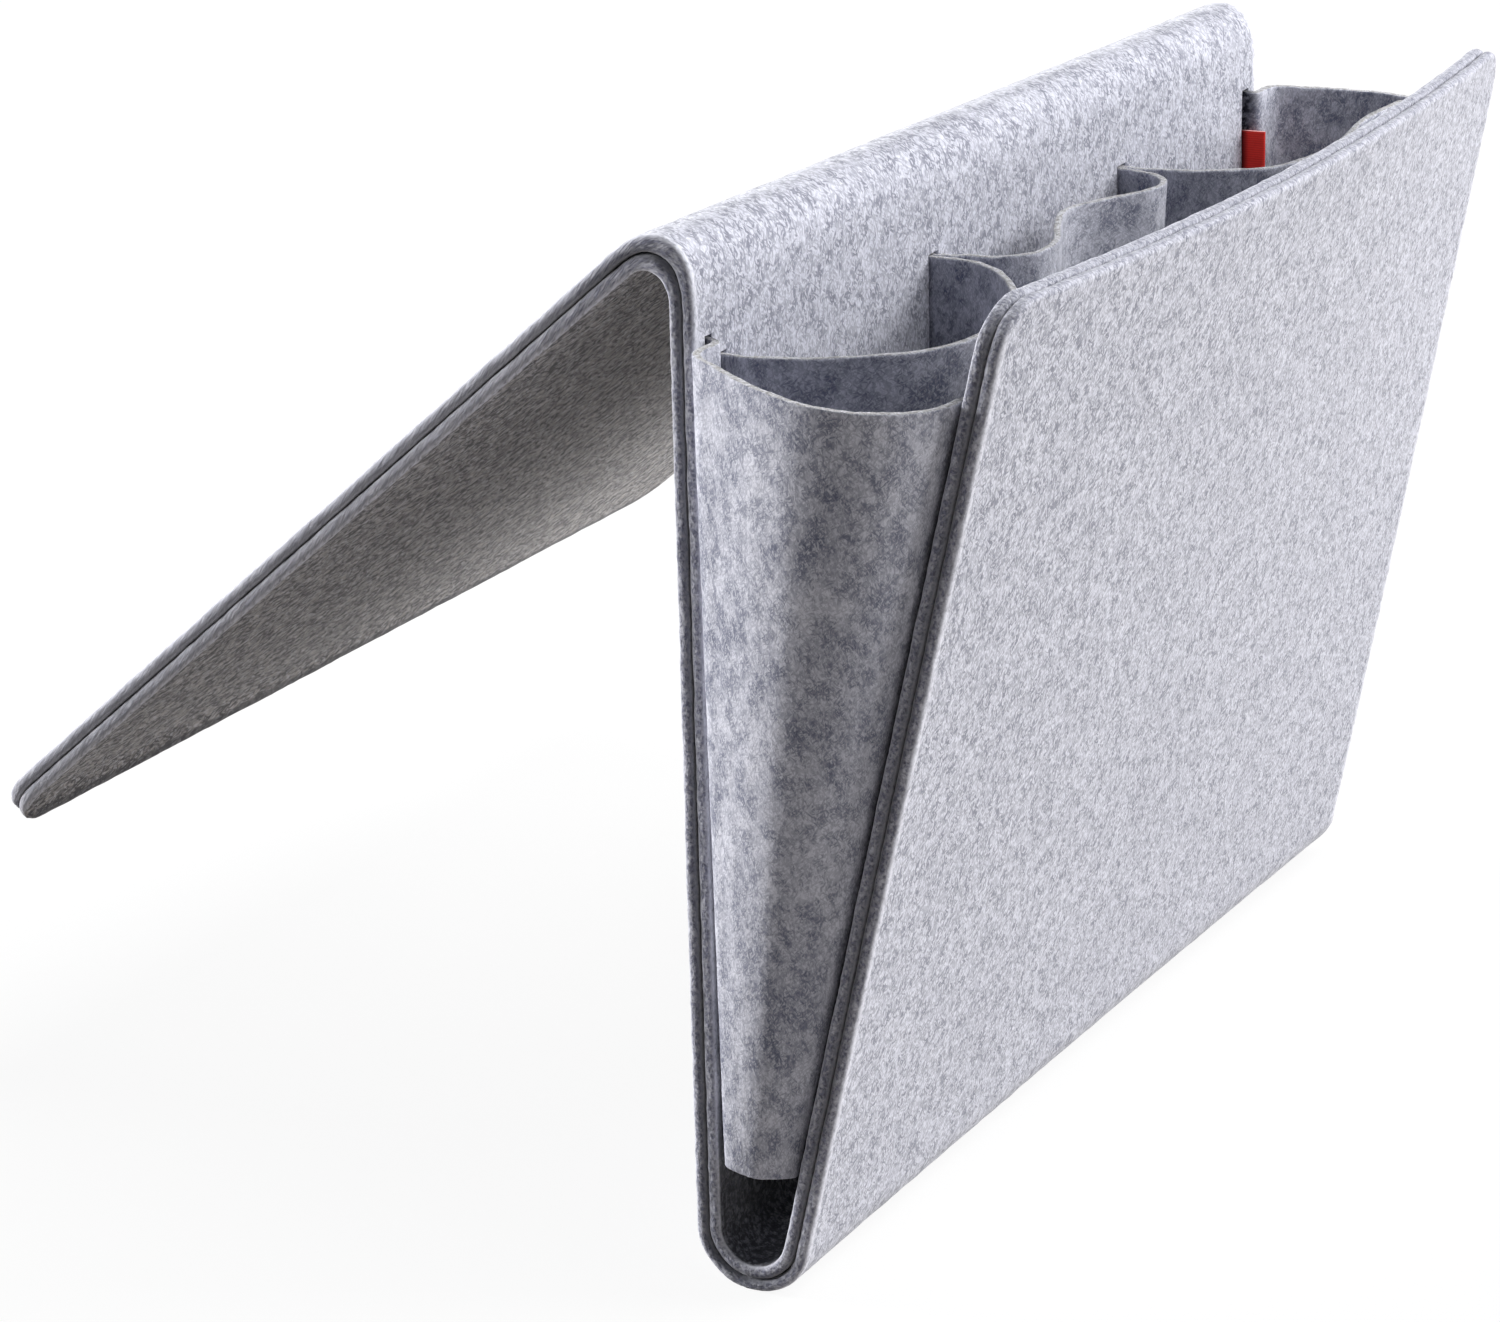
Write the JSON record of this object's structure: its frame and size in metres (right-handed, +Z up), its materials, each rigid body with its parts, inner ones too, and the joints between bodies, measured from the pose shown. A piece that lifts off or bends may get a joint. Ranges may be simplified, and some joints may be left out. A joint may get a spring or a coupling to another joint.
{
  "type": "bedside caddy",
  "caption": "Felt bedside caddy: a folded felt strip with a flap that goes under a mattress, a front pocket with round side gussets, and pouches inside.",
  "frame": {"origin": "middle of the flat foot under the bottom fold, on the floor", "axes": "+X along the bed from the left end to the right end, +Y from the pocket towards the bed and the flap, +Z up"},
  "size_m": [0.365, 0.2696, 0.241],
  "materials": {
    "felt": "pressed heather grey felt, matt, with short darker fibres",
    "thin_felt": "thin heather grey felt, matt, cloudy",
    "ribbon": "woven red ribbon, matt"
  },
  "bodies": {
    "back": {"back_pocket_layer": "felt", "back_rear_layer": "felt", "bottom_fold_inner_layer": "felt", "bottom_fold_outer_layer": "felt", "top_fold_outer_layer": "felt", "top_fold_inner_layer": "felt", "left_gusset": "thin_felt", "right_gusset": "thin_felt", "left_pouch": "thin_felt", "middle_pouch": "thin_felt", "right_pouch": "thin_felt", "ribbon_tag": "ribbon"},
    "flap": {"flap_upper_layer": "felt", "flap_lower_layer": "felt"},
    "front": {"front_inner_layer": "felt", "front_outer_layer": "felt"}
  },
  "joints": [
    {"name": "flap_fold", "type": "hinge", "parent": "back", "child": "flap", "pos_m": [0, 0.02641, 0.2288], "axis": [1, 0, 0], "range_deg": [-46, 48], "stiffness_Nm_per_rad": 2, "springref_deg": 2.86, "deforming": ["top_fold_outer_layer", "top_fold_inner_layer"]},
    {"name": "front_fold", "type": "hinge", "parent": "back", "child": "front", "pos_m": [0, 0, 0.0139], "axis": [1, 0, 0], "range_deg": [-4, 3], "stiffness_Nm_per_rad": 2, "springref_deg": -1.26, "deforming": ["bottom_fold_outer_layer", "bottom_fold_inner_layer", "left_gusset", "right_gusset", "right_pouch"]}
  ]
}
